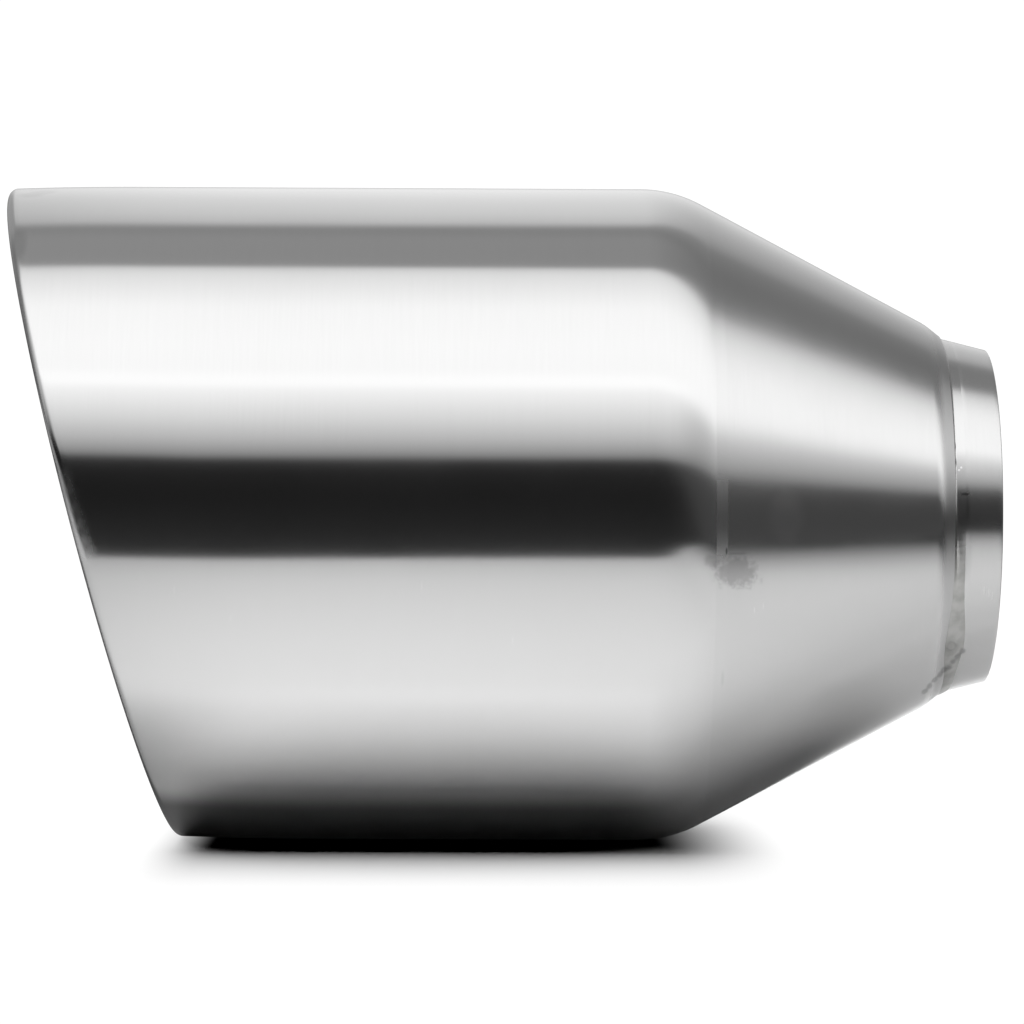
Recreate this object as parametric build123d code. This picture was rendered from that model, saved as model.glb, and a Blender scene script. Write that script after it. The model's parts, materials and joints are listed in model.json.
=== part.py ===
from build123d import *
from math import asin, cos, degrees, hypot, radians, sin, tan
import os

# Slash-cut exhaust tip: a rolled-lip barrel, a reducing cone and a weld-on inlet collar.
# The bore's axis is X, with the inlet's end face at X = 0 and the mouth toward -X. The longer lip
# of the slanted mouth is on top, toward +Z. Lengths are in millimetres and angles in degrees.

# Barrel: stainless sheet rolled into a tube, its mouth cut at a slant
barrel_od = 130.0
overall_length = 194.6
sheet = 1.2
cut_angle = 14.8

# Mouth: the wall leans in a little toward the edge, and the edge is curled inward to a tight hem
turn_in_depth = 0.45
turn_in_length = 25.0
turn_in_run = 5.0
lip_bend = 0.4
lip_curl = 250.0

# Knuckle: the barrel's rear end, rolled in to meet the cone
knuckle_radius = 26.0
knuckle_angle = 28.7

# Girth weld between knuckle and cone, ground flat on the outside
girth_weld_width = 2.4
girth_weld_root = 1.0
girth_weld_angle = 25.5

# Reducing cone, with a steeper shoulder just before the collar
cone_angle = 27.5
shoulder_angle = 38.0
shoulder_radius = 30.0
shoulder_run = 2.6

# Inlet collar: a ring that slips over the tailpipe, thinnest at its free end
collar_end_od = 66.4
collar_end_wall = 1.25
collar_taper = 14.0
collar_length = 12.0

# Fillet weld in the corner where the cone's small end sits on the collar
weld_corner = 8.6
collar_weld_leg = 1.2
collar_weld_crown = 0.06
seat_clearance = 0.1


def at(x, r):
    """A point of a half-section: x along the axis, r out from it."""
    return Vector(x, 0, r)


def downhill(angle):
    """Direction toward the inlet along a wall that closes in by this angle."""
    return at(cos(radians(angle)), -sin(radians(angle)))


def outward(angle):
    """Direction out of the metal, square to a wall that closes in by this angle."""
    return at(sin(radians(angle)), cos(radians(angle)))


def bend(centre, radius, first, last):
    """Arc of a bent wall about a centre, from one wall angle to another."""
    return ThreePointArc(
        centre + outward(first) * radius,
        centre + outward((first + last) / 2) * radius,
        centre + outward(last) * radius,
    )


def turned(edges):
    """Solid of revolution about the bore's axis, from the edges of a closed half-section."""
    return revolve(make_face(edges), axis=Axis.X)


# Half-section of the mouth before it is slanted. An arc leans the wall in by mouth_lean at its
# edge, and the curl's centre lies inside that edge. The curl is the sheet bent round lip_bend.
barrel_radius = barrel_od / 2
slant = tan(radians(cut_angle))
lip_radius = lip_bend + sheet
turn_in_radius = (turn_in_length**2 + turn_in_depth**2) / (2 * turn_in_depth)
mouth_lean = degrees(asin(turn_in_length / turn_in_radius))
lip_centre_radius = barrel_radius - turn_in_depth - lip_radius * cos(radians(mouth_lean))
lip_reach = lip_radius * hypot(1, slant)
lip_centre = at(slant * lip_centre_radius + lip_reach - overall_length, lip_centre_radius)
mouth_edge = lip_centre + outward(-mouth_lean) * lip_radius
turn_in_centre = at(mouth_edge.X + turn_in_length, barrel_radius - turn_in_radius)
front_joint = turn_in_centre.X + turn_in_run

# Half-section of the joint between cone and collar, worked out from the collar's end. Its bore is
# what the wall leaves of the outside, and slips over a pipe of 63.5 mm.
collar_end_radius = collar_end_od / 2
collar_bore = collar_end_od - 2 * collar_end_wall
corner = at(-weld_corner, collar_end_radius + weld_corner * tan(radians(collar_taper)))
cone_end = corner - downhill(shoulder_angle) * collar_weld_leg
cone_edge = cone_end - outward(shoulder_angle) * sheet
seat_radius = cone_edge.Z - seat_clearance
taper_start = at((collar_end_radius - seat_radius) / tan(radians(collar_taper)), seat_radius)

# Half-section of the shoulder, girth weld and knuckle. The cone is as long as its angle needs to
# reach from the shoulder out to the knuckle.
shoulder_foot = cone_end - downhill(shoulder_angle) * shoulder_run
shoulder_centre = shoulder_foot - outward(shoulder_angle) * shoulder_radius
shoulder_top = shoulder_centre + outward(cone_angle) * shoulder_radius
knuckle_drop = knuckle_radius * (1 - cos(radians(knuckle_angle)))
knuckle_end_radius = barrel_radius - knuckle_drop
cone_start_radius = knuckle_end_radius - girth_weld_width * sin(radians(girth_weld_angle))
cone_run = (cone_start_radius - shoulder_top.Z) / tan(radians(cone_angle))
cone_start = at(shoulder_top.X - cone_run, cone_start_radius)
knuckle_end = cone_start - downhill(girth_weld_angle) * girth_weld_width
knuckle_centre = knuckle_end - outward(knuckle_angle) * knuckle_radius
bevel = (girth_weld_width - girth_weld_root) / 2
knuckle_root = knuckle_end - outward(knuckle_angle) * sheet + downhill(knuckle_angle) * bevel
cone_root = cone_start - outward(cone_angle) * sheet - downhill(cone_angle) * bevel


def make_front():
    """The barrel's front end: straight tube, turned-in wall and curled lip, slanted as one."""
    curl_end = -mouth_lean - lip_curl
    edges = [
        Line(at(front_joint, barrel_radius), at(turn_in_centre.X, barrel_radius)),
        bend(turn_in_centre, turn_in_radius, 0, -mouth_lean),
        bend(lip_centre, lip_radius, -mouth_lean, curl_end),
        Line(lip_centre + outward(curl_end) * lip_radius, lip_centre + outward(curl_end) * lip_bend),
        bend(lip_centre, lip_bend, curl_end, -mouth_lean),
        bend(turn_in_centre, turn_in_radius - sheet, -mouth_lean, 0),
        Line(at(turn_in_centre.X, barrel_radius - sheet), at(front_joint, barrel_radius - sheet)),
        Line(at(front_joint, barrel_radius - sheet), at(front_joint, barrel_radius)),
    ]
    shear = Matrix([[1, 0, -slant, 0], [0, 1, 0, 0], [0, 0, 1, 0], [0, 0, 0, 1]])
    return turned(edges).solid().transform_geometry(shear)


def make_rear():
    """The barrel's rear end: straight tube, and the knuckle that is rolled in at its end."""
    inside = knuckle_radius - sheet
    uncut = front_joint - slant * barrel_od
    edges = [
        Line(at(uncut, barrel_radius), at(knuckle_centre.X, barrel_radius)),
        bend(knuckle_centre, knuckle_radius, 0, knuckle_angle),
        Line(knuckle_end, knuckle_root),
        Line(knuckle_root, knuckle_centre + outward(knuckle_angle) * inside),
        bend(knuckle_centre, inside, knuckle_angle, 0),
        Line(at(knuckle_centre.X, barrel_radius - sheet), at(uncut, barrel_radius - sheet)),
        Line(at(uncut, barrel_radius - sheet), at(uncut, barrel_radius)),
    ]
    joint = Plane(origin=(front_joint, 0, 0), z_dir=(1, 0, slant))
    return split(turned(edges), bisect_by=joint, keep=Keep.TOP)


def make_barrel():
    """The barrel in one piece, from curled lip to knuckle."""
    return make_rear() + make_front()


def make_girth_weld():
    """The weld metal between knuckle and cone: wide outside and narrow at its root."""
    return turned(Polyline(knuckle_end, cone_start, cone_root, knuckle_root, close=True).edges())


def make_cone():
    """The reducing cone, from the girth weld over its shoulder to the collar weld."""
    inside = shoulder_radius - sheet
    edges = [
        Line(cone_start, shoulder_top),
        bend(shoulder_centre, shoulder_radius, cone_angle, shoulder_angle),
        Line(shoulder_foot, cone_end),
        Line(cone_end, cone_edge),
        Line(cone_edge, shoulder_centre + outward(shoulder_angle) * inside),
        bend(shoulder_centre, inside, shoulder_angle, cone_angle),
        Line(shoulder_centre + outward(cone_angle) * inside, cone_root),
        Line(cone_root, cone_start),
    ]
    return turned(edges)


def make_collar():
    """The inlet collar: a straight bore, a seat for the cone and a tapered outside."""
    bore_radius = collar_bore / 2
    section = Polyline(
        at(0, bore_radius),
        at(0, collar_end_radius),
        taper_start,
        at(-collar_length, seat_radius),
        at(-collar_length, bore_radius),
        close=True,
    )
    return turned(section.edges())


def make_collar_weld():
    """The bead between the cone's end face and the collar."""
    facing = outward((shoulder_angle + collar_taper) / 2)
    toe = at(cone_edge.X, seat_radius)
    edges = [
        ThreePointArc(cone_end, (cone_end + taper_start) * 0.5 + facing * collar_weld_crown, taper_start),
        Line(taper_start, toe),
        Line(toe, cone_edge),
        Line(cone_edge, cone_end),
    ]
    return turned(edges)


pieces = {
    "barrel": make_barrel(),
    "girth_weld": make_girth_weld(),
    "reducer_cone": make_cone(),
    "collar_weld": make_collar_weld(),
    "inlet_collar": make_collar(),
}

os.makedirs("parts", exist_ok=True)
for name, piece in pieces.items():
    export_step(piece, f"parts/{name}.step")
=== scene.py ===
import json
from math import asin, cos, degrees, hypot, pi, radians, sin, tan

import bpy
import numpy as np
from mathutils import Matrix, Vector


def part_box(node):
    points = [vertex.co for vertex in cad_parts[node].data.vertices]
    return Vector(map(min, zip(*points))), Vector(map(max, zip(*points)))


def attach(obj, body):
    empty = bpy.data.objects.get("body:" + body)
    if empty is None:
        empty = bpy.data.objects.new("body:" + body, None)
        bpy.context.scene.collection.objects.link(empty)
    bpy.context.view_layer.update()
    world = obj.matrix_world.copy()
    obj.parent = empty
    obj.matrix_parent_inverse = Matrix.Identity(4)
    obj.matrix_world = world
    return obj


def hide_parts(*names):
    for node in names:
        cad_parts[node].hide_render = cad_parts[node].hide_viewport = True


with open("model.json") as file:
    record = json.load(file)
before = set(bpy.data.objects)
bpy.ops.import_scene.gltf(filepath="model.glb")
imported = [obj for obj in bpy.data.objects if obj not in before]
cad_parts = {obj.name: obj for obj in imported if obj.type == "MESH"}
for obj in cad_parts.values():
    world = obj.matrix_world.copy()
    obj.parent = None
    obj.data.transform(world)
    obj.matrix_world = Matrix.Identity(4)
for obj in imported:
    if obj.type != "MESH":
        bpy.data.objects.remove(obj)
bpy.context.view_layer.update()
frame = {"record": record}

# Barrel: stainless sheet rolled into a tube, with its mouth cut at a slant and the edge curled
# inward into a bead. Its rear end is rolled in to a knuckle that the cone is welded to. All of it
# is brushed round and round on a belt, then lightly polished.

# Lengths are in metres and angles in degrees
SHEET = 0.0012
CUT_ANGLE = 14.8
TURN_IN_DEPTH = 0.00045
TURN_IN_LENGTH = 0.025
TURN_IN_RUN = 0.005
LIP_BEND = 0.0004
LIP_CURL = 250.0
STEP_BEFORE_EDGE = 0.4
KNUCKLE_ANGLE = 28.7
GIRTH_WELD_WIDTH = 0.0024
CONE_ANGLE = 27.5
STEPS_ROUND = 480
CREASE_ANGLE = 32.0

barrel_low, barrel_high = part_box("barrel")
_, girth_weld_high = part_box("girth_weld")
_, cone_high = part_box("reducer_cone")
barrel_radius = barrel_high.z
slant = tan(radians(CUT_ANGLE))
round_angles = np.linspace(0.0, 2 * pi, STEPS_ROUND, endpoint=False)


def outward(angle):
    """Direction (along, out) square to a wall that closes in toward the inlet by this angle."""
    return np.array([sin(radians(angle)), cos(radians(angle))])


def downhill(angle):
    """Direction (along, out) toward the inlet down a wall that closes in by this angle."""
    return np.array([cos(radians(angle)), -sin(radians(angle))])


def bend(centre, radius, first, last, steps):
    """Points (along, out) of a bent wall about a centre, from one wall angle to another."""
    return [centre + outward(angle) * radius for angle in np.linspace(first, last, steps + 1)]


def straight(start, end, steps):
    """Points (along, out) strictly between two others."""
    return [start + (end - start) * step / steps for step in range(1, steps)]


def ring(point):
    """A point (along, out) of the half-section, carried once round the bore's axis."""
    along, out = point
    to_back = -out * np.cos(round_angles)
    up = out * np.sin(round_angles)
    return np.stack([np.full(STEPS_ROUND, along), to_back, up], axis=1)


def piece_from_rings(name, rings):
    """A closed skin through rings of points, listed once round the wall's section."""
    points = np.concatenate(rings)
    rows = len(rings)
    faces = []
    for row in range(rows):
        here = row * STEPS_ROUND
        there = (row + 1) % rows * STEPS_ROUND
        for step in range(STEPS_ROUND):
            after = (step + 1) % STEPS_ROUND
            faces.append((here + step, there + step, there + after, here + after))
    mesh = bpy.data.meshes.new(name)
    mesh.from_pydata(points.tolist(), [], faces)
    mesh.polygons.foreach_set("use_smooth", [True] * len(faces))
    mesh.set_sharp_from_angle(angle=radians(CREASE_ANGLE))
    mesh.update()
    piece = bpy.data.objects.new(name, mesh)
    bpy.context.scene.collection.objects.link(piece)
    return piece


lip_radius = LIP_BEND + SHEET
turn_in_radius = (TURN_IN_LENGTH**2 + TURN_IN_DEPTH**2) / (2 * TURN_IN_DEPTH)
mouth_lean = degrees(asin(TURN_IN_LENGTH / turn_in_radius))
lip_centre_radius = barrel_radius - TURN_IN_DEPTH - lip_radius * cos(radians(mouth_lean))
lip_reach = lip_radius * hypot(1, slant)
lip_centre = np.array([slant * lip_centre_radius + lip_reach + barrel_low.x, lip_centre_radius])
mouth_edge = lip_centre + outward(-mouth_lean) * lip_radius
turn_in_centre = np.array([mouth_edge[0] + TURN_IN_LENGTH, barrel_radius - turn_in_radius])
front_joint = turn_in_centre[0] + TURN_IN_RUN
cone_start = np.array([girth_weld_high.x, cone_high.z])
knuckle_end = cone_start - downhill(CONE_ANGLE) * GIRTH_WELD_WIDTH
knuckle_radius = (barrel_radius - knuckle_end[1]) / (1 - cos(radians(KNUCKLE_ANGLE)))
knuckle_centre = knuckle_end - outward(KNUCKLE_ANGLE) * knuckle_radius


def slanted(point):
    """A ring of the barrel: square at the knuckle, and leaning with the mouth toward the front."""
    placed = ring(point)
    lean = np.clip((knuckle_centre[0] - point[0]) / (knuckle_centre[0] - front_joint), 0.0, 1.0)
    placed[:, 0] -= slant * lean * placed[:, 2]
    return placed


def unit(vectors):
    return vectors / np.linalg.norm(vectors, axis=1, keepdims=True)


edge_ring = slanted(mouth_edge)
along_edge = unit(np.roll(edge_ring, -1, axis=0) - np.roll(edge_ring, 1, axis=0))
before_edge = bend(turn_in_centre, turn_in_radius, STEP_BEFORE_EDGE - mouth_lean, 0, 1)[0]
to_edge = unit(edge_ring - slanted(before_edge))
edge_outward = unit(np.cross(to_edge, along_edge))
away_from_axis = edge_outward[:, 1:2] * edge_ring[:, 1:2] + edge_outward[:, 2:3] * edge_ring[:, 2:3]
edge_outward *= np.sign(away_from_axis)
edge_forward = unit(np.cross(edge_outward, along_edge))
edge_forward *= -np.sign(edge_forward[:, 0:1])
curl_centre = slanted(lip_centre)
to_curl = curl_centre + edge_outward * lip_radius - edge_ring


def curled(turn, radius):
    """A ring of the curl, which is round in every plane square to the mouth's edge."""
    return curl_centre + radius * (edge_outward * cos(radians(turn)) + edge_forward * sin(radians(turn)))


def leaning_in(radius, steps):
    """Rings of the turned-in wall, led from the straight tube to the round curl at its edge."""
    points = bend(turn_in_centre, radius, 0, -mouth_lean, steps)
    return [slanted(point) + to_curl * (step / steps) ** 2 for step, point in enumerate(points)]


def barrel_rings():
    inner_knuckle = knuckle_radius - SHEET
    tube_front = np.array([front_joint, barrel_radius])
    tube_rear = np.array([knuckle_centre[0], barrel_radius])
    wall = np.array([0.0, SHEET])
    outside = bend(knuckle_centre, knuckle_radius, KNUCKLE_ANGLE, 0, steps=22)
    outside += straight(tube_rear, tube_front, steps=14) + [tube_front]
    inside = [tube_front - wall] + straight(tube_front - wall, tube_rear - wall, steps=8)
    inside += bend(knuckle_centre, inner_knuckle, 0, KNUCKLE_ANGLE, steps=12)
    mouth = leaning_in(turn_in_radius, steps=24)
    mouth_inside = leaning_in(turn_in_radius - SHEET, steps=12)[::-1]
    curl = [curled(turn, lip_radius) for turn in np.linspace(0, LIP_CURL, 45)[1:]]
    return_curl = [curled(turn, LIP_BEND) for turn in np.linspace(LIP_CURL, 0, 28)]
    tube = [slanted(point) for point in outside]
    tube_inside = [slanted(point) for point in inside]
    return tube + mouth + curl + return_curl + mouth_inside + tube_inside


barrel = piece_from_rings("barrel_shell", barrel_rings())
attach(barrel, "root")
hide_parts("barrel")

BELT_LINES = (0.25, 0.75)
POLISHING_CLOUDS = (0.3, 0.7)
NOISE_AVERAGE = 0.5
MARK_GRAIN = 550.0
MARK_RAGGED_REACH = 4.0
MARK_EDGE = (1.0, 0.35)
QUARTER_TURN = 0.25


def grey(level):
    return (level, level, level)


def put(tree, term, socket):
    """Sets a socket to a number or a tuple, or links another node's output to it."""
    if isinstance(term, (int, float, tuple)):
        socket.default_value = term
    else:
        tree.links.new(term, socket)


def maths(tree, operation, first, second=None, clamp=False):
    """One Math node. Each term is a number or another node's output."""
    node = tree.nodes.new("ShaderNodeMath")
    node.operation = operation
    node.use_clamp = clamp
    put(tree, first, node.inputs[0])
    if second is not None:
        put(tree, second, node.inputs[1])
    return node.outputs[0]


def product(tree, first, second):
    return maths(tree, "MULTIPLY", first, second)


def vector_maths(tree, operation, first, second=None):
    """One Vector Math node of other nodes' outputs."""
    node = tree.nodes.new("ShaderNodeVectorMath")
    node.operation = operation
    put(tree, first, node.inputs[0])
    if second is not None:
        put(tree, second, node.inputs[1])
    return node


def place_on_piece(tree):
    """A point's place in the shared frame, in metres."""
    return tree.nodes.new("ShaderNodeTexCoord").outputs["Object"]


def parts_of(tree, vector):
    """The x, y and z of a vector."""
    node = tree.nodes.new("ShaderNodeSeparateXYZ")
    tree.links.new(vector, node.inputs[0])
    return node.outputs


def degrees_up(tree, parts):
    """Degrees round the bore's axis, up from the front, from the parts of a vector."""
    to_front = product(tree, parts[1], -1.0)
    return product(tree, maths(tree, "ARCTAN2", parts[2], to_front), 180 / pi)


def noise(tree, vector, scale, detail, roughness):
    """Value noise at a point, about 0.5 on average."""
    node = tree.nodes.new("ShaderNodeTexNoise")
    node.inputs["Scale"].default_value = scale
    node.inputs["Detail"].default_value = detail
    node.inputs["Roughness"].default_value = roughness
    tree.links.new(vector, node.inputs["Vector"])
    return node.outputs["Fac"]


def ramp(tree, value, low, high, low_to=0.0, high_to=1.0):
    """A value carried smoothly from one range to another."""
    node = tree.nodes.new("ShaderNodeMapRange")
    node.interpolation_type = "SMOOTHSTEP"
    for label, number in (("From Min", low), ("From Max", high), ("To Min", low_to), ("To Max", high_to)):
        node.inputs[label].default_value = number
    tree.links.new(value, node.inputs["Value"])
    return node.outputs["Result"]


def group_with(name, inputs, outputs):
    """An empty node group with named inputs and outputs, and the sockets inside it for both."""
    tree = bpy.data.node_groups.new(name, "ShaderNodeTree")
    for label, value in inputs.items():
        kind = "NodeSocketVector" if isinstance(value, tuple) else "NodeSocketFloat"
        socket = tree.interface.new_socket(label, in_out="INPUT", socket_type=kind)
        socket.default_value = value
    for label in outputs:
        tree.interface.new_socket(label, in_out="OUTPUT", socket_type="NodeSocketFloat")
    return tree, tree.nodes.new("NodeGroupInput").outputs, tree.nodes.new("NodeGroupOutput").inputs


def make_hairlines():
    """Fine belt-grinding lines that run round the bore's axis, of uneven depth and length."""
    tree, given, result = group_with("hairlines", {"Spacing": 0.0004, "Length": 0.02}, ["Height", "Streaks"])
    stretched = tree.nodes.new("ShaderNodeCombineXYZ")
    parts = parts_of(tree, place_on_piece(tree))
    for part, size, socket in zip(parts, ("Spacing", "Length", "Length"), stretched.inputs):
        tree.links.new(maths(tree, "DIVIDE", part, given[size]), socket)
    fine = noise(tree, stretched.outputs[0], scale=1.0, detail=2.0, roughness=0.5)
    tree.links.new(fine, result["Height"])
    tree.links.new(ramp(tree, fine, *BELT_LINES), result["Streaks"])
    return tree


def make_handling():
    """Broad, soft unevenness that polishing by hand leaves in a satin surface."""
    tree, given, result = group_with("handling", {"Size": 0.03}, ["Clouds", "Waves"])
    scaled = vector_maths(tree, "SCALE", place_on_piece(tree))
    tree.links.new(maths(tree, "DIVIDE", 1.0, given["Size"]), scaled.inputs["Scale"])
    place = scaled.outputs["Vector"]
    clouds = noise(tree, place, scale=1.0, detail=3.0, roughness=0.55)
    tree.links.new(ramp(tree, clouds, *POLISHING_CLOUDS), result["Clouds"])
    tree.links.new(noise(tree, place, scale=0.6, detail=1.0, roughness=0.4), result["Waves"])
    return tree


def make_patch():
    """One ragged mark: 1 at its middle and 0 outside its half sizes."""
    usual = {"Centre": (0.0, 0.0, 0.0), "Half sizes": (0.005, 0.005, 0.005), "Raggedness": 0.5}
    tree, given, result = group_with("patch", usual, ["Mask"])
    place = place_on_piece(tree)
    from_centre = vector_maths(tree, "SUBTRACT", place, given["Centre"]).outputs["Vector"]
    share = vector_maths(tree, "DIVIDE", from_centre, given["Half sizes"]).outputs["Vector"]
    distance = vector_maths(tree, "LENGTH", share).outputs["Value"]
    grain = noise(tree, place, scale=MARK_GRAIN, detail=4.0, roughness=0.7)
    ragged = product(tree, maths(tree, "SUBTRACT", grain, NOISE_AVERAGE), given["Raggedness"])
    reach = maths(tree, "ADD", distance, product(tree, ragged, MARK_RAGGED_REACH))
    tree.links.new(ramp(tree, reach, *MARK_EDGE), result["Mask"])
    return tree


def make_whereabouts():
    """Where a point is: along the bore's axis, and degrees round it, up from the front."""
    tree, _, result = group_with("whereabouts", {}, ["Along", "Angle"])
    parts = parts_of(tree, place_on_piece(tree))
    tree.links.new(parts[0], result["Along"])
    tree.links.new(degrees_up(tree, parts), result["Angle"])
    return tree


hairlines = make_hairlines()
handling = make_handling()
patch = make_patch()
whereabouts = make_whereabouts()


class Finish:
    """A metal's node tree as it is put together, from its shader back to its marks."""

    def __init__(self, name, colour, roughness, anisotropy):
        self.material = bpy.data.materials.new(name)
        self.material.use_nodes = True
        self.tree = self.material.node_tree
        self.shader = self.tree.nodes["Principled BSDF"]
        self.shader.inputs["Metallic"].default_value = 1.0
        self.shader.inputs["Anisotropic"].default_value = anisotropy
        self.shader.inputs["Anisotropic Rotation"].default_value = QUARTER_TURN
        round_axis = self.tree.nodes.new("ShaderNodeTangent")
        round_axis.direction_type = "RADIAL"
        round_axis.axis = "X"
        self.tree.links.new(round_axis.outputs[0], self.shader.inputs["Tangent"])
        self.colour = (*colour, 1.0)
        self.roughness = roughness

    def use(self, group, **values):
        """A group with its own values here. Gives its outputs."""
        node = self.tree.nodes.new("ShaderNodeGroup")
        node.node_tree = group
        for label, value in values.items():
            node.inputs[label.replace("_", " ")].default_value = value
        return node.outputs

    def mask(self, centre, half_sizes, raggedness):
        """Where one ragged patch is."""
        return self.use(patch, Centre=centre, Half_sizes=half_sizes, Raggedness=raggedness)["Mask"]

    def tint(self, mask, colour, strength=1.0):
        """Turns the base colour toward another where the mask is."""
        mix = self.tree.nodes.new("ShaderNodeMix")
        mix.data_type = "RGBA"
        self.tree.links.new(product(self.tree, mask, strength), mix.inputs["Factor"])
        put(self.tree, self.colour, mix.inputs["A"])
        mix.inputs["B"].default_value = (*colour, 1.0)
        self.colour = mix.outputs["Result"]

    def roughen(self, mask, amount):
        """Adds to the roughness where the mask is."""
        self.roughness = maths(self.tree, "ADD", self.roughness, product(self.tree, mask, amount))

    def brush(self, spacing, length, streaks):
        """Belt lines of this spacing and length, in another colour. Gives their height."""
        lines = self.use(hairlines, Spacing=spacing, Length=length)
        self.tint(lines["Streaks"], streaks)
        return lines["Height"]

    def handle(self, size, duller):
        """Clouds of this size that polishing by hand left duller."""
        self.roughen(self.use(handling, Size=size)["Clouds"], duller)

    def mark(self, centre, half_sizes, raggedness, colour=None, strength=1.0, duller=0.0):
        """A small mark, of another colour or duller than the metal round it, or both."""
        spot = self.mask(centre, half_sizes, raggedness)
        if colour is not None:
            self.tint(spot, colour, strength)
        if duller > 0.0:
            self.roughen(spot, duller)

    def marks(self, centres, **look):
        """The same mark in several places."""
        for centre in centres:
            self.mark(centre, **look)

    def done(self, height, depth):
        """The finished metal, with a bump of this depth from the height."""
        put(self.tree, self.colour, self.shader.inputs["Base Color"])
        put(self.tree, self.roughness, self.shader.inputs["Roughness"])
        bump = self.tree.nodes.new("ShaderNodeBump")
        bump.inputs["Distance"].default_value = depth
        self.tree.links.new(height, bump.inputs["Height"])
        self.tree.links.new(bump.outputs["Normal"], self.shader.inputs["Normal"])
        return self.material


# Marks on this tip, with their centres and half sizes as (x, y, z)
POLISHING_SMUDGE = dict(
    centre=(-0.0532, -0.0588, -0.0105),
    half_sizes=(0.0056, 0.02, 0.0038),
    raggedness=0.42,
    colour=grey(0.34),
    strength=0.7,
    duller=0.04,
)
SMUDGE_TAIL = dict(
    centre=(-0.0578, -0.0602, -0.0088),
    half_sizes=(0.0022, 0.02, 0.0018),
    raggedness=0.4,
    colour=grey(0.38),
    strength=0.5,
    duller=0.04,
)
MOUTH_SMEARS = [
    (-0.1787, -0.065, 0.0055),
    (-0.1775, -0.065, 0.0025),
    (-0.1764, -0.0649, -0.001),
    (-0.1754, -0.0648, -0.004),
    (-0.1744, -0.0645, -0.0068),
]
SMEAR = dict(half_sizes=(0.0027, 0.006, 0.0036), raggedness=0.12, colour=grey(0.8), strength=0.3, duller=0.1)
MOUTH_SHADE = dict(
    centre=(-0.1897, -0.0398, 0.0511),
    half_sizes=(0.0024, 0.009, 0.006),
    raggedness=0.06,
    colour=grey(0.38),
    strength=0.4,
)
# Painted shade: two soft, darker patches on the top of the barrel beside the mouth
PAINTED_TOP_SHADES = [(-0.1893, -0.0179, 0.0622), (-0.187, -0.0149, 0.063)]
TOP_SHADE_LOOK = dict(half_sizes=(0.0035, 0.004, 0.0012), raggedness=0.12, colour=grey(0.42), strength=0.35)
FLECKS = [
    (-0.0674, -0.0645, 0.0064),
    (-0.0694, -0.0645, 0.0078),
    (-0.0655, -0.0644, 0.0058),
    (-0.078, -0.0649, 0.002),
    (-0.112, -0.0636, -0.0135),
    (-0.1475, -0.062, -0.0195),
    (-0.158, -0.0634, -0.0143),
    (-0.095, -0.0606, -0.0235),
]
FLECK = dict(
    half_sizes=(0.0001, 0.004, 0.0009),
    raggedness=0.2,
    colour=grey(0.85),
    strength=0.45,
    duller=0.03,
)


def barrel_finish():
    finish = Finish("barrel_satin", colour=grey(0.62), roughness=0.175, anisotropy=0.95)
    lines = finish.brush(spacing=0.00022, length=0.012, streaks=grey(0.611))
    finish.handle(size=0.03, duller=0.02)
    finish.mark(**POLISHING_SMUDGE)
    finish.mark(**SMUDGE_TAIL)
    finish.marks(MOUTH_SMEARS, **SMEAR)
    finish.mark(**MOUTH_SHADE)
    finish.marks(PAINTED_TOP_SHADES, **TOP_SHADE_LOOK)
    finish.marks(FLECKS, **FLECK)
    return finish.done(lines, depth=0.000001)


barrel.data.materials.append(barrel_finish())


# Girth weld: the weld metal that joins knuckle and cone. It was ground flat with a disc and
# polished over, so it lies flush with both, and is duller in one place.

GIRTH_ROOT = 0.001
PIT = dict(
    centre=(-0.0551, -0.0606, -0.0068),
    half_sizes=(0.0003, 0.01, 0.0009),
    raggedness=0.2,
    colour=grey(0.1),
    strength=0.8,
    duller=0.1,
)
SCRATCH = dict(
    centre=(-0.0553, -0.0525, -0.0308),
    half_sizes=(0.0004, 0.01, 0.002),
    raggedness=0.2,
    colour=grey(0.48),
    strength=0.45,
)
GROUND_SPOT = dict(
    centre=(-0.056, -0.061, -0.0005),
    half_sizes=(0.01, 0.03, 0.0098),
    raggedness=0.0,
    duller=0.22,
)

girth_bevel = (GIRTH_WELD_WIDTH - GIRTH_ROOT) / 2


def girth_weld_rings():
    front_root = knuckle_end - outward(KNUCKLE_ANGLE) * SHEET + downhill(CONE_ANGLE) * girth_bevel
    rear_root = cone_start - outward(CONE_ANGLE) * SHEET - downhill(CONE_ANGLE) * girth_bevel
    section = [knuckle_end] + straight(knuckle_end, cone_start, steps=6) + [cone_start]
    section += [rear_root] + straight(rear_root, front_root, steps=4) + [front_root]
    return [ring(point) for point in section]


girth_weld = piece_from_rings("girth_weld_bead", girth_weld_rings())
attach(girth_weld, "root")
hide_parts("girth_weld")


def girth_weld_finish():
    finish = Finish("dressed_weld_metal", colour=grey(0.6), roughness=0.18, anisotropy=0.95)
    lines = finish.brush(spacing=0.00022, length=0.008, streaks=grey(0.595))
    finish.mark(**GROUND_SPOT)
    finish.mark(**POLISHING_SMUDGE)
    finish.mark(**PIT)
    finish.mark(**SCRATCH)
    return finish.done(lines, depth=0.0000006)


girth_weld.data.materials.append(girth_weld_finish())


# Reducing cone: pressed from the same sheet, with a steeper shoulder at its small end where it
# meets the collar. It is brushed round the axis like the barrel, a little less finely.

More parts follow.
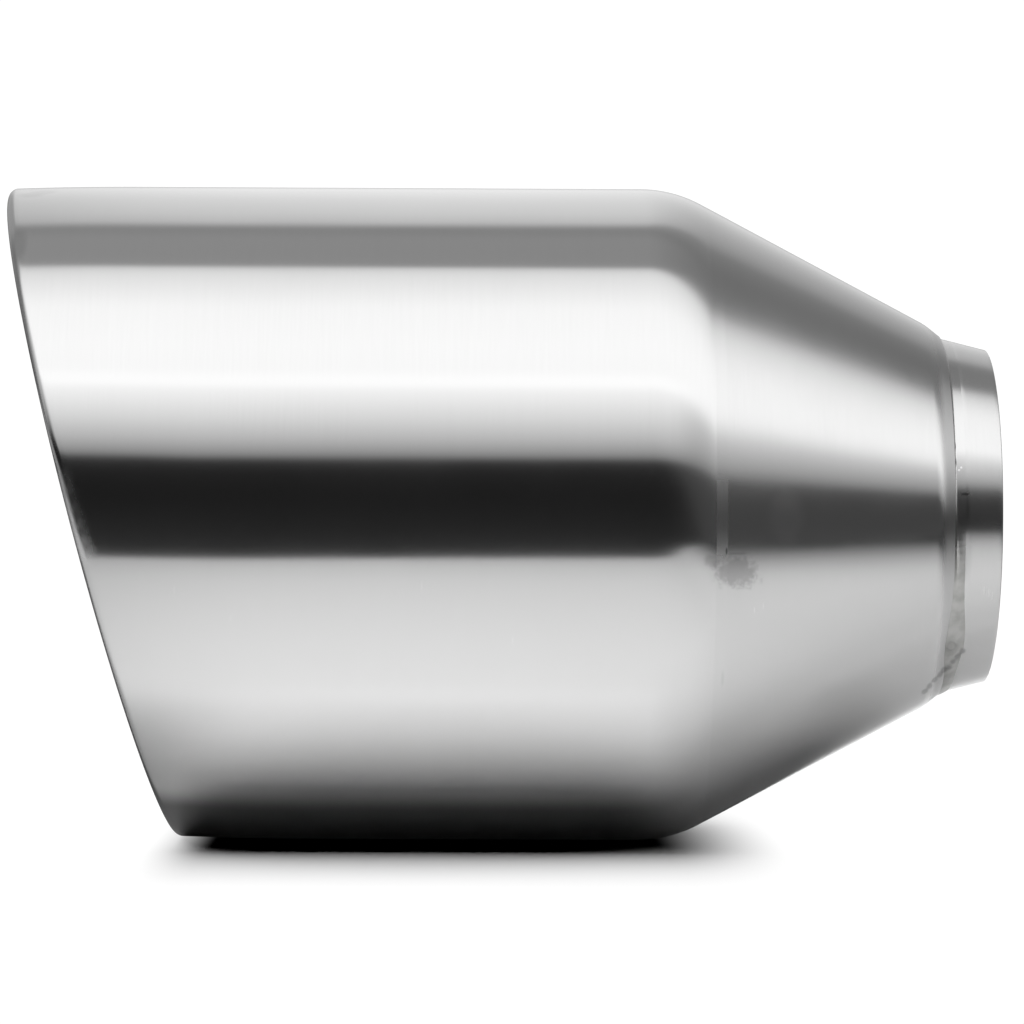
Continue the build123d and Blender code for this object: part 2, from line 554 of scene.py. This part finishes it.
SHOULDER_ANGLE = 38.0
SHOULDER_RADIUS = 0.012
SHOULDER_RUN = 0.0026
DULL_FROM = (-0.0128, -0.0107)
PALE_BLOTCH = dict(
    centre=(-0.0435, -0.0555, -0.0005),
    half_sizes=(0.0048, 0.02, 0.0062),
    raggedness=0.12,
    colour=grey(0.8),
    strength=0.4,
    duller=0.03,
)
BAND_LINE = dict(
    centre=(-0.0531, -0.0594, -0.0072),
    half_sizes=(0.003, 0.01, 0.0003),
    raggedness=0.1,
    colour=grey(0.35),
    strength=0.5,
)
BEAD_TOE = [
    (-0.0067, -0.0228, -0.0264),
    (-0.0076, -0.0219, -0.0274),
    (-0.0085, -0.0209, -0.0284),
    (-0.0091, -0.0197, -0.0295),
    (-0.01, -0.0203, -0.0302),
    (-0.0107, -0.0198, -0.0312),
    (-0.0117, -0.0196, -0.0322),
    (-0.0126, -0.0189, -0.0334),
    (-0.0134, -0.018, -0.0346),
]
# Painted shade: a dark line of patches along the toe of the collar weld at the lower front, over cone, weld
# and collar
TOE_LINE_SHADE = dict(half_sizes=(0.001, 0.003, 0.001), raggedness=0.25, colour=grey(0.16), strength=0.55)
CONE_FLECKS = [(-0.0495, -0.0551, -0.0179), (-0.0478, -0.0544, -0.0172), (-0.0315, -0.0463, -0.012)]

_, bead_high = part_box("collar_weld")
cone_end = np.array([cone_high.x, bead_high.z])


def cone_rings():
    foot = cone_end - downhill(SHOULDER_ANGLE) * SHOULDER_RUN
    centre = foot - outward(SHOULDER_ANGLE) * SHOULDER_RADIUS
    top = centre + outward(CONE_ANGLE) * SHOULDER_RADIUS
    root = cone_start - outward(CONE_ANGLE) * SHEET - downhill(CONE_ANGLE) * girth_bevel
    inner_top = centre + outward(CONE_ANGLE) * (SHOULDER_RADIUS - SHEET)
    section = [cone_start] + straight(cone_start, top, steps=14)
    section += bend(centre, SHOULDER_RADIUS, CONE_ANGLE, SHOULDER_ANGLE, steps=12)
    section += straight(foot, cone_end, steps=3) + [cone_end, cone_end - outward(SHOULDER_ANGLE) * SHEET]
    section += bend(centre, SHOULDER_RADIUS - SHEET, SHOULDER_ANGLE, CONE_ANGLE, steps=6)
    section += straight(inner_top, root, steps=6) + [root]
    return [ring(point) for point in section]


reducer_cone = piece_from_rings("reducer_cone_shell", cone_rings())
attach(reducer_cone, "root")
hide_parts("reducer_cone")


def cone_finish():
    finish = Finish("cone_satin", colour=grey(0.6), roughness=0.17, anisotropy=0.95)
    lines = finish.brush(spacing=0.00022, length=0.01, streaks=grey(0.589))
    finish.handle(size=0.02, duller=0.03)
    beside_weld = ramp(finish.tree, finish.use(whereabouts)["Along"], *DULL_FROM)
    finish.roughen(beside_weld, amount=0.2)
    finish.tint(beside_weld, colour=grey(0.53))
    finish.mark(**POLISHING_SMUDGE)
    finish.mark(**PALE_BLOTCH)
    finish.mark(**BAND_LINE)
    finish.marks(BEAD_TOE, **TOE_LINE_SHADE)
    finish.marks(CONE_FLECKS, **FLECK)
    return finish.done(lines, depth=0.0000012)


reducer_cone.data.materials.append(cone_finish())


# Collar weld: the bead in the corner between cone and collar, run round by hand. It was dressed
# flush over the upper front, where only an undercut shows. Elsewhere it lies in ripples, and at
# the lower front, where the run ended, it is lumpy and spreads over both its neighbours.

COLLAR_TAPER = 14.0
DRESSED_MIDDLE = 46.0
DRESSED_HALF = (50.0, 64.0)
UNDERCUT_SHARES = [0.0, 0.08, 0.16, 1.0]
UNDERCUT_LEAN = 0.00004
UNDERCUT_WIDTH = 0.00025
UNDERCUT_RISE = 0.00025
BEAD_HEIGHT = 0.00005
RIPPLES_ROUND = 170
RIPPLE_HEIGHT = 0.00005
LUMP_ANGLE = -44.0
LUMP_SPREAD = 18.0
LUMP_OVER_CONE = 0.0011
LUMP_OVER_COLLAR = 0.0009
LUMP_BASE = 0.00003
LUMP_HEIGHT = 0.00024
KNOTS_ROUND = 31
GAP_ANGLE = -15.0
GAP_SPREAD = 5.0
GAP_SHARE = 0.2
GAP_SHARE_SPREAD = 0.12
GAP_DEPTH = 0.0003

collar_low, collar_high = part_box("inlet_collar")
seat_radius = collar_high.z
taper_start = np.array([bead_high.x, seat_radius])
bead_angles = (np.degrees(round_angles) + 180.0) % 360.0 - 180.0


def smooth(low, high, values):
    share = np.clip((values - low) / (high - low), 0.0, 1.0)
    return share * share * (3 - 2 * share)


def hump(values, middle, spread):
    """1 at the middle, falling smoothly to 0 on both sides."""
    return np.exp(-((values - middle) / spread) ** 2)


def wavy(count, unevenness, unevenness_count):
    """Angles for this many waves round the axis, some of them longer than others."""
    return round_angles * count + unevenness * np.sin(round_angles * unevenness_count)


def collar_weld_rings():
    from_middle = np.abs((bead_angles - DRESSED_MIDDLE + 180.0) % 360.0 - 180.0)
    laid = smooth(*DRESSED_HALF, from_middle)
    lumpy = hump(bead_angles, LUMP_ANGLE, LUMP_SPREAD)
    gap = hump(bead_angles, GAP_ANGLE, GAP_SPREAD)
    ripples = 0.5 + 0.5 * np.cos(wavy(RIPPLES_ROUND, unevenness=1.7, unevenness_count=7))
    knots = 0.5 + 0.5 * np.sin(wavy(KNOTS_ROUND, unevenness=2.0, unevenness_count=13))
    facing = outward((SHOULDER_ANGLE + COLLAR_TAPER) / 2)
    bead_start = cone_end[:, None] - downhill(SHOULDER_ANGLE)[:, None] * LUMP_OVER_CONE * lumpy
    bead_end = taper_start[:, None] + downhill(COLLAR_TAPER)[:, None] * LUMP_OVER_COLLAR * lumpy
    undercut = [cone_end[0], cone_end[0] + UNDERCUT_LEAN, cone_end[0] + UNDERCUT_WIDTH, taper_start[0]]
    rings = [ring(cone_end - outward(SHOULDER_ANGLE) * SHEET)]
    for share in np.linspace(0.0, 1.0, 15):
        crown = 4 * share * (1 - share)
        crest = BEAD_HEIGHT + RIPPLE_HEIGHT * ripples + LUMP_HEIGHT * lumpy * (0.5 + 0.5 * knots)
        height = crown * crest + LUMP_BASE * lumpy
        across_corner = cone_end[:, None] + (taper_start - cone_end)[:, None] * share
        spread = bead_start + (bead_end - bead_start) * share
        full = across_corner * (1 - lumpy) + spread * lumpy + facing[:, None] * height
        along = np.interp(share, UNDERCUT_SHARES, undercut)
        out = seat_radius + (taper_start[0] - along) * tan(radians(COLLAR_TAPER))
        out += np.interp(share, UNDERCUT_SHARES, [cone_end[1] - out, UNDERCUT_RISE, 0.0, 0.0])
        flush = np.array([along, out])[:, None]
        placed = flush * (1 - laid) + full * laid
        placed[1] -= GAP_DEPTH * gap * hump(share, GAP_SHARE, GAP_SHARE_SPREAD)
        rings.append(ring(placed))
    rings.append(ring(np.array([cone_end[0] - outward(SHOULDER_ANGLE)[0] * SHEET, seat_radius])))
    return rings


collar_weld = piece_from_rings("collar_weld_bead", collar_weld_rings())
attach(collar_weld, "root")
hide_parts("collar_weld")

AS_LAID = (0.5, 0.5, 0.49)
OXIDE = (0.38, 0.38, 0.37)
CRATER_RIM_SHADE = (0.3, 0.3, 0.295)
SPATTER = dict(
    centre=(-0.0075, -0.0349, 0.0042),
    half_sizes=(0.0012, 0.004, 0.0004),
    raggedness=0.4,
    colour=grey(0.1),
    strength=0.9,
    duller=0.1,
)
BRIGHT_SPECKS = [(-0.0087, -0.0343, 0.0088), (-0.0083, -0.0341, 0.0093)]
SPECK = dict(half_sizes=(0.00035, 0.004, 0.0003), raggedness=0.4, colour=grey(1.0), strength=0.8, duller=0.1)
DARK_DASHES = [(-0.0093, -0.0329, 0.0135), (-0.0093, -0.0339, 0.0103)]
DASH = dict(half_sizes=(0.00016, 0.004, 0.0011), raggedness=0.3, colour=grey(0.12), strength=0.9, duller=0.1)
CRATER = (-0.0091, -0.0249, -0.0252)
CRATER_RIM = (0.0018, 0.004, 0.0018)
CRATER_PIT = (0.0010, 0.004, 0.0010)


def collar_weld_finish():
    finish = Finish("raw_weld_metal", colour=grey(0.6), roughness=0.2, anisotropy=0.85)
    tree = finish.tree
    angle = finish.use(whereabouts)["Angle"]
    clouds = finish.use(handling, Size=0.003)
    from_middle = maths(tree, "ABSOLUTE", maths(tree, "SUBTRACT", angle, DRESSED_MIDDLE))
    the_other_way = maths(tree, "SUBTRACT", 360.0, from_middle)
    laid = ramp(tree, maths(tree, "MINIMUM", from_middle, the_other_way), *DRESSED_HALF)
    finish.tint(laid, AS_LAID)
    finish.roughen(laid, amount=0.2)
    finish.tint(product(tree, clouds["Clouds"], laid), OXIDE)
    finish.mark(**SPATTER)
    finish.marks(BRIGHT_SPECKS, **SPECK)
    finish.marks(DARK_DASHES, **DASH)
    finish.marks(BEAD_TOE, **TOE_LINE_SHADE)
    # Painted shade: the crater's rim is darkened, and it is also raised by the bump
    rim = finish.mask(CRATER, CRATER_RIM, raggedness=0.2)
    pit = finish.mask(CRATER, CRATER_PIT, raggedness=0.2)
    finish.tint(maths(tree, "SUBTRACT", rim, pit, clamp=True), CRATER_RIM_SHADE, strength=0.5)
    waves = product(tree, clouds["Waves"], laid)
    return finish.done(maths(tree, "ADD", waves, maths(tree, "SUBTRACT", rim, pit)), depth=0.0001)


collar_weld.data.materials.append(collar_weld_finish())


# Inlet collar: a turned ring that slips over the tailpipe. It is straight inside, thins toward its
# free end outside, and its edges are lightly broken.

COLLAR_WALL = 0.00125
EDGE_BREAK = 0.00022
EDGE_KNEE = 0.3
HEATED = dict(
    centre=(-0.0079, -0.0342, -0.0076),
    half_sizes=(0.0023, 0.02, 0.0078),
    raggedness=0.05,
    colour=grey(0.4),
    strength=0.42,
)
COLLAR_FLECKS = [(-0.0017, -0.0298, -0.0155), (-0.0034, -0.0307, -0.0144), (-0.0024, -0.0303, -0.0149)]

bore_radius = frame["record"]["mounts"][0]["dims"]["r_mm"] / 1000


def collar_rings():
    free_end = np.array([collar_high.x, bore_radius + COLLAR_WALL])
    run = unit((free_end - taper_start)[None, :])[0]
    section = [taper_start] + straight(taper_start, free_end, steps=8)
    section += [free_end - run * EDGE_BREAK]
    section += [free_end - run * EDGE_BREAK * EDGE_KNEE - [EDGE_BREAK * EDGE_KNEE, 0]]
    section += [free_end - [0, EDGE_BREAK]]
    section += [np.array([collar_high.x, bore_radius + EDGE_BREAK])]
    section += [np.array([collar_high.x - EDGE_BREAK, bore_radius])]
    section += [np.array([collar_low.x + EDGE_BREAK, bore_radius])]
    section += [np.array([collar_low.x, bore_radius + EDGE_BREAK])]
    section += [np.array([collar_low.x, seat_radius])]
    return [ring(point) for point in section]


inlet_collar = piece_from_rings("inlet_collar_ring", collar_rings())
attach(inlet_collar, "root")
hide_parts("inlet_collar")


def collar_finish():
    finish = Finish("collar_satin", colour=grey(0.61), roughness=0.24, anisotropy=0.9)
    lines = finish.brush(spacing=0.0003, length=0.01, streaks=grey(0.599))
    finish.handle(size=0.012, duller=0.03)
    finish.mark(**SPATTER)
    finish.marks(BEAD_TOE, **TOE_LINE_SHADE)
    finish.mark(**HEATED)
    finish.marks(COLLAR_FLECKS, **FLECK)
    return finish.done(lines, depth=0.0000015)


inlet_collar.data.materials.append(collar_finish())


# Table: the pale, matt board that the tip lies on, made as two sheets in one plane. The camera sees
# the first. The satin steel shows only the second, which ends a hand's length in front of the tip
# and fades to the right in painted shade, so its edge is the lower side of the steel's dark band.
# The second's colour is painted light and shade: a fall-off away from the tip, and shadows near it.

BOARD_PALE = 0.86
WHITE = 1.05
SEEN_BOARD = [(-0.9, -0.6), (0.7, -0.6), (0.7, 0.6), (-0.9, 0.6)]
SHADOW_FADES_RIGHT = (-0.066, -0.038)
SHADOW_FADES_LEFT = (-0.153, -0.167)
SHADOW_FADES_ACROSS = (0.11, 0.15)
MIRRORED_BOARD = [
    (-0.8, -0.258),
    (-0.195, -0.258),
    (-0.1, -0.276),
    (0.01, -0.28),
    (0.09, -0.335),
    (0.3, -0.335),
    (0.3, 1.2),
    (-0.8, 1.2),
]
# Painted light: levels of the mirrored sheet's colour along and across it, above 1 close to the tip and
# falling off away from it
LIGHT_FALLOFF_ALONG = [
    (-0.3, 0.6), (-0.2, 0.78), (-0.165, 0.95), (-0.14, 1.0), (-0.05, 0.98), (-0.02, 0.96),
    (0.02, 0.9), (0.08, 0.92), (0.11, 0.84), (0.17, 0.48), (0.25, 0.05), (0.3, 0.0),
]
LIGHT_FALLOFF_ACROSS = [
    (-0.3, 0.66), (-0.262, 0.68), (-0.19, 0.86), (-0.1, 1.0), (-0.075, 1.03),
    (-0.052, 1.15), (-0.038, 1.1), (-0.028, 1.28), (-0.01, 1.48), (0.0, 1.6),
]
# Painted shadow on the mirrored sheet close under the tip, deepest under the barrel
TIP_SHADOW_ALONG = [
    (-0.3, 0.78), (-0.18, 0.78), (-0.15, 0.66), (-0.075, 0.66), (-0.05, 0.0), (-0.025, 0.0),
    (-0.005, 0.22), (0.006, 0.12), (0.3, 0.12),
]
TIP_SHADOW_ACROSS = (-0.033, -0.024)
SHADE_ALONG = (-0.145, -0.175)
SHADE_ACROSS = (-0.078, -0.047)
SHADE_DEPTH = 0.45
CONE_SHADE_ALONG = (-0.075, -0.05)
CONE_SHADE_ACROSS = (-0.09, -0.045)
CONE_SHADE_DEPTH = 0.2

table_height = barrel_low.z


def board(name, outline, material):
    """One sheet of the board, from its corners (x, y)."""
    mesh = bpy.data.meshes.new(name)
    corners = [(x, y, table_height) for x, y in outline]
    mesh.from_pydata(corners, [], [list(range(len(corners)))])
    mesh.materials.append(material)
    sheet_object = bpy.data.objects.new(name, mesh)
    sheet_object.visible_shadow = False
    bpy.context.scene.collection.objects.link(sheet_object)
    return sheet_object


def board_paper(name):
    """Plain matt paper, and the node tree that its colour is set in."""
    material = bpy.data.materials.new(name)
    material.use_nodes = True
    tree = material.node_tree
    tree.nodes.remove(tree.nodes["Principled BSDF"])
    paper = tree.nodes.new("ShaderNodeBsdfDiffuse")
    paper.inputs["Color"].default_value = (*grey(BOARD_PALE), 1.0)
    tree.links.new(paper.outputs[0], tree.nodes["Material Output"].inputs["Surface"])
    return material, tree, paper


def levels(tree, value, points):
    """A value looked up between listed points (place, level)."""
    first = points[0][0]
    last = points[-1][0]
    node = tree.nodes.new("ShaderNodeFloatCurve")
    curve = node.mapping.curves[0]
    node.mapping.use_clip = False
    curve.points[0].location = (0.0, points[0][1])
    curve.points[1].location = (1.0, points[-1][1])
    for place, level in points[1:-1]:
        curve.points.new((place - first) / (last - first), level)
    for point in curve.points:
        point.handle_type = "VECTOR"
    node.mapping.update()
    share = tree.nodes.new("ShaderNodeMapRange")
    share.inputs["From Min"].default_value = first
    share.inputs["From Max"].default_value = last
    tree.links.new(value, share.inputs["Value"])
    tree.links.new(share.outputs["Result"], node.inputs["Value"])
    return node.outputs[0]


def darkened(tree, light, share):
    """A light with a share of it taken away."""
    return product(tree, light, maths(tree, "SUBTRACT", 1.0, share, clamp=True))


seen_paper, tree, paper = board_paper("seen_paper")
along, across, _ = parts_of(tree, place_on_piece(tree))
right_of_shadow = ramp(tree, along, *SHADOW_FADES_RIGHT)
left_of_shadow = ramp(tree, along, *SHADOW_FADES_LEFT)
away = ramp(tree, maths(tree, "ABSOLUTE", across), *SHADOW_FADES_ACROSS)
open_board = maths(tree, "MAXIMUM", maths(tree, "ADD", right_of_shadow, left_of_shadow), away)
# Beyond the ends and sides of the tip's shadow, the seen sheet glows evenly white instead of being lit. This
# cuts the shadow short below the cone and beyond the mouth.
bright = tree.nodes.new("ShaderNodeEmission")
bright.inputs["Strength"].default_value = WHITE
either = tree.nodes.new("ShaderNodeMixShader")
tree.links.new(open_board, either.inputs[0])
tree.links.new(paper.outputs[0], either.inputs[1])
tree.links.new(bright.outputs[0], either.inputs[2])
tree.links.new(either.outputs[0], tree.nodes["Material Output"].inputs["Surface"])
seen_board = board("seen_board", SEEN_BOARD, seen_paper)
for ray in ("diffuse", "glossy", "transmission", "volume_scatter"):
    setattr(seen_board, "visible_" + ray, False)

painted_mirrored_paper, tree, paper = board_paper("painted_mirrored_paper")
along, across, _ = parts_of(tree, place_on_piece(tree))
# The mirrored sheet's colour is painted light and shade: the fall-off, then painted shade beside the mouth
# and below the cone, and painted shadow under the tip
painted_lighting = product(tree, levels(tree, along, LIGHT_FALLOFF_ALONG), levels(tree, across, LIGHT_FALLOFF_ACROSS))
mouth_shade = product(tree, ramp(tree, along, *SHADE_ALONG), ramp(tree, across, *SHADE_ACROSS))
painted_lighting = darkened(tree, painted_lighting, product(tree, mouth_shade, SHADE_DEPTH))
# Painted shade on the mirrored sheet below the cone
painted_cone_shade = ramp(tree, along, *CONE_SHADE_ALONG, 0.0, CONE_SHADE_DEPTH)
painted_lighting = darkened(tree, painted_lighting, product(tree, painted_cone_shade, ramp(tree, across, *CONE_SHADE_ACROSS)))
painted_tip_shadow = product(tree, levels(tree, along, TIP_SHADOW_ALONG), ramp(tree, across, *TIP_SHADOW_ACROSS))
painted_lighting = darkened(tree, painted_lighting, painted_tip_shadow)
tree.links.new(product(tree, painted_lighting, BOARD_PALE), paper.inputs["Color"])
mirrored_board = board("mirrored_board", MIRRORED_BOARD, painted_mirrored_paper)
mirrored_board.visible_camera = False


# Studio: a long softbox overhead and toward the camera, a dimmer ceiling behind it, and a light
# backdrop. Near the horizon the room is dark, which gives the steel its dark band. The two sheets
# of the board are lit by long strips of light of their own.

# Levels by elevation: 0 is the horizon behind the camera, 90 overhead, 180 the one beyond the tip
SOFTBOX = [
    (0, 0.0), (18.5, 0.0), (19.5, 0.32), (22, 0.5), (26, 0.74), (32, 0.98), (40, 1.28),
    (43.5, 1.38), (45, 1.58), (48, 1.57), (50.5, 1.48), (60, 1.5), (76, 1.46), (84, 1.3),
    (92, 1.15), (95, 1.0), (96, 0.0), (180, 0.0),
]
CORNER_ALONG = (0.3, 0.72)
CORNER_UP = (37, 51)
CORNER_DIMMING = 0.41
CEILING = [
    (0, 0.0), (95.5, 0.0), (96.5, 0.33), (112, 0.335), (118, 0.27), (122, 0.36), (166, 0.36),
    (174, 0.1), (180, 0.05),
]
CEILING_DIMMING = 0.85
BACKDROP = [
    (0, 0.0), (119, 0.0), (123, 0.42), (130, 0.55), (138, 0.59), (152, 0.63), (162, 0.6),
    (173, 0.3), (180, 0.0),
]
BACKDROP_SHIFT = 20.0
BACKDROP_DIMMING = 1.6
BACKDROP_LEFT_END = (0.02, 0.28)
LEFT_END = (0.5, 0.85)
LEFT_END_DIMMING = 0.62
LEFT_END_UNDER = (6, -10)
LEFT_END_GLOW = 0.35
ROOM_DARK = 0.015
LOW_GLOW = (8, -16)
LOW_GLOW_LEVEL = 0.024
GLOW_BY_RIGHT = (0.3, 0.75)
GLOW_EVERYWHERE = 0.018
GLOW_EDGE = [(0.0, 0.3), (0.19, 0.215), (0.54, 0.09), (0.82, -0.18), (1.0, -0.3)]
GLOW_EDGE_UNIT = 100.0
GLOW_SOFTNESS = (-2.5, 3.5)
GLOW_OVER_EDGE = 0.046

world = bpy.data.worlds.new("studio")
bpy.context.scene.world = world
world.use_nodes = True
world.cycles_visibility.diffuse = False
room = world.node_tree
toward = parts_of(room, room.nodes.new("ShaderNodeTexCoord").outputs["Generated"])
elevation = degrees_up(room, toward)
to_right = maths(room, "MAXIMUM", toward[0], 0.0)
to_left = product(room, toward[0], -1.0)


def total(*lights):
    """Lights of the room added up, from the first."""
    so_far = lights[0]
    for light in lights[1:]:
        so_far = maths(room, "ADD", so_far, light)
    return so_far


corner_right = ramp(room, to_right, *CORNER_ALONG, 0.0, CORNER_DIMMING)
corner = product(room, corner_right, ramp(room, elevation, *CORNER_UP, 1.0, 0.0))
softbox = darkened(room, levels(room, elevation, SOFTBOX), corner)
ceiling = darkened(room, levels(room, elevation, CEILING), product(room, to_right, CEILING_DIMMING))
lowered = maths(room, "SUBTRACT", elevation, product(room, to_right, BACKDROP_SHIFT))
backdrop = darkened(room, levels(room, lowered, BACKDROP), product(room, to_right, BACKDROP_DIMMING))
backdrop = product(room, backdrop, ramp(room, to_left, *BACKDROP_LEFT_END, 1.0, 0.0))
left_end = ramp(room, to_left, *LEFT_END)
overhead = total(softbox, ceiling, backdrop)
overhead = darkened(room, overhead, product(room, left_end, LEFT_END_DIMMING))
left_glow = product(room, left_end, ramp(room, elevation, *LEFT_END_UNDER, 0.0, LEFT_END_GLOW))
low_glow = ramp(room, elevation, *LOW_GLOW, ROOM_DARK, LOW_GLOW_LEVEL)
by_right = ramp(room, to_right, *GLOW_BY_RIGHT, 0.0, GLOW_EVERYWHERE)
glow_edge = product(room, levels(room, to_right, GLOW_EDGE), GLOW_EDGE_UNIT)
above_edge = maths(room, "SUBTRACT", elevation, glow_edge)
over_edge = ramp(room, above_edge, *GLOW_SOFTNESS, 0.0, GLOW_OVER_EDGE)
lit = total(overhead, left_glow, total(low_glow, by_right, over_edge))
camera_ray = room.nodes.new("ShaderNodeLightPath").outputs["Is Camera Ray"]
radiance = total(darkened(room, lit, camera_ray), product(room, camera_ray, WHITE))
room.nodes["Background"].inputs["Color"].default_value = (*grey(1.0), 1.0)
room.links.new(radiance, room.nodes["Background"].inputs["Strength"])

STRIP_HEIGHT = 2.5
STRIP_LENGTH = 6.5


def strip_light(name, first, last, middle, power, lights_only):
    """A long strip over the board, between two angles up from the front horizon."""
    front = -STRIP_HEIGHT / tan(radians(first))
    back = -STRIP_HEIGHT / tan(radians(last))
    light = bpy.data.lights.new(name, "AREA")
    light.shape = "RECTANGLE"
    light.size = STRIP_LENGTH
    light.size_y = back - front
    light.energy = power
    strip = bpy.data.objects.new(name, light)
    strip.location = (middle, (front + back) / 2, table_height + STRIP_HEIGHT)
    strip.visible_glossy = False
    strip.visible_camera = False
    receivers = bpy.data.collections.new("lit by " + name)
    receivers.objects.link(lights_only)
    strip.light_linking.receiver_collection = receivers
    bpy.context.scene.collection.objects.link(strip)


strip_light("overhead_strip", first=57, last=120, middle=-0.1, power=200.0, lights_only=seen_board)
strip_light("front_strip", first=53, last=92, middle=-1.3, power=185.0, lights_only=mirrored_board)

bpy.context.scene.view_settings.view_transform = "Standard"


# Camera: a long lens, level with the bore's axis and square to the tip's side within a degree.
# It is aimed near the tip's middle, and its yaw and roll are in radians.

IMAGE_SIZE = 1024
FOCAL_PIXELS = 4415.4
SENSOR = 36.0
DISTANCE = 0.8846
YAW = 0.0117
ROLL = 0.0039
AIM = Vector((-0.0945, 0.0, 0.00039))

lens = bpy.data.cameras.new("camera")
lens.sensor_width = SENSOR
lens.lens = FOCAL_PIXELS / IMAGE_SIZE * SENSOR
camera = bpy.data.objects.new("camera", lens)
forward = Vector((sin(YAW), cos(YAW), 0.0))
facing = forward.to_track_quat("-Z", "Y").to_matrix().to_4x4()
camera.matrix_world = Matrix.Translation(AIM - forward * DISTANCE) @ facing @ Matrix.Rotation(ROLL, 4, "Z")
bpy.context.scene.collection.objects.link(camera)
bpy.context.scene.camera = camera
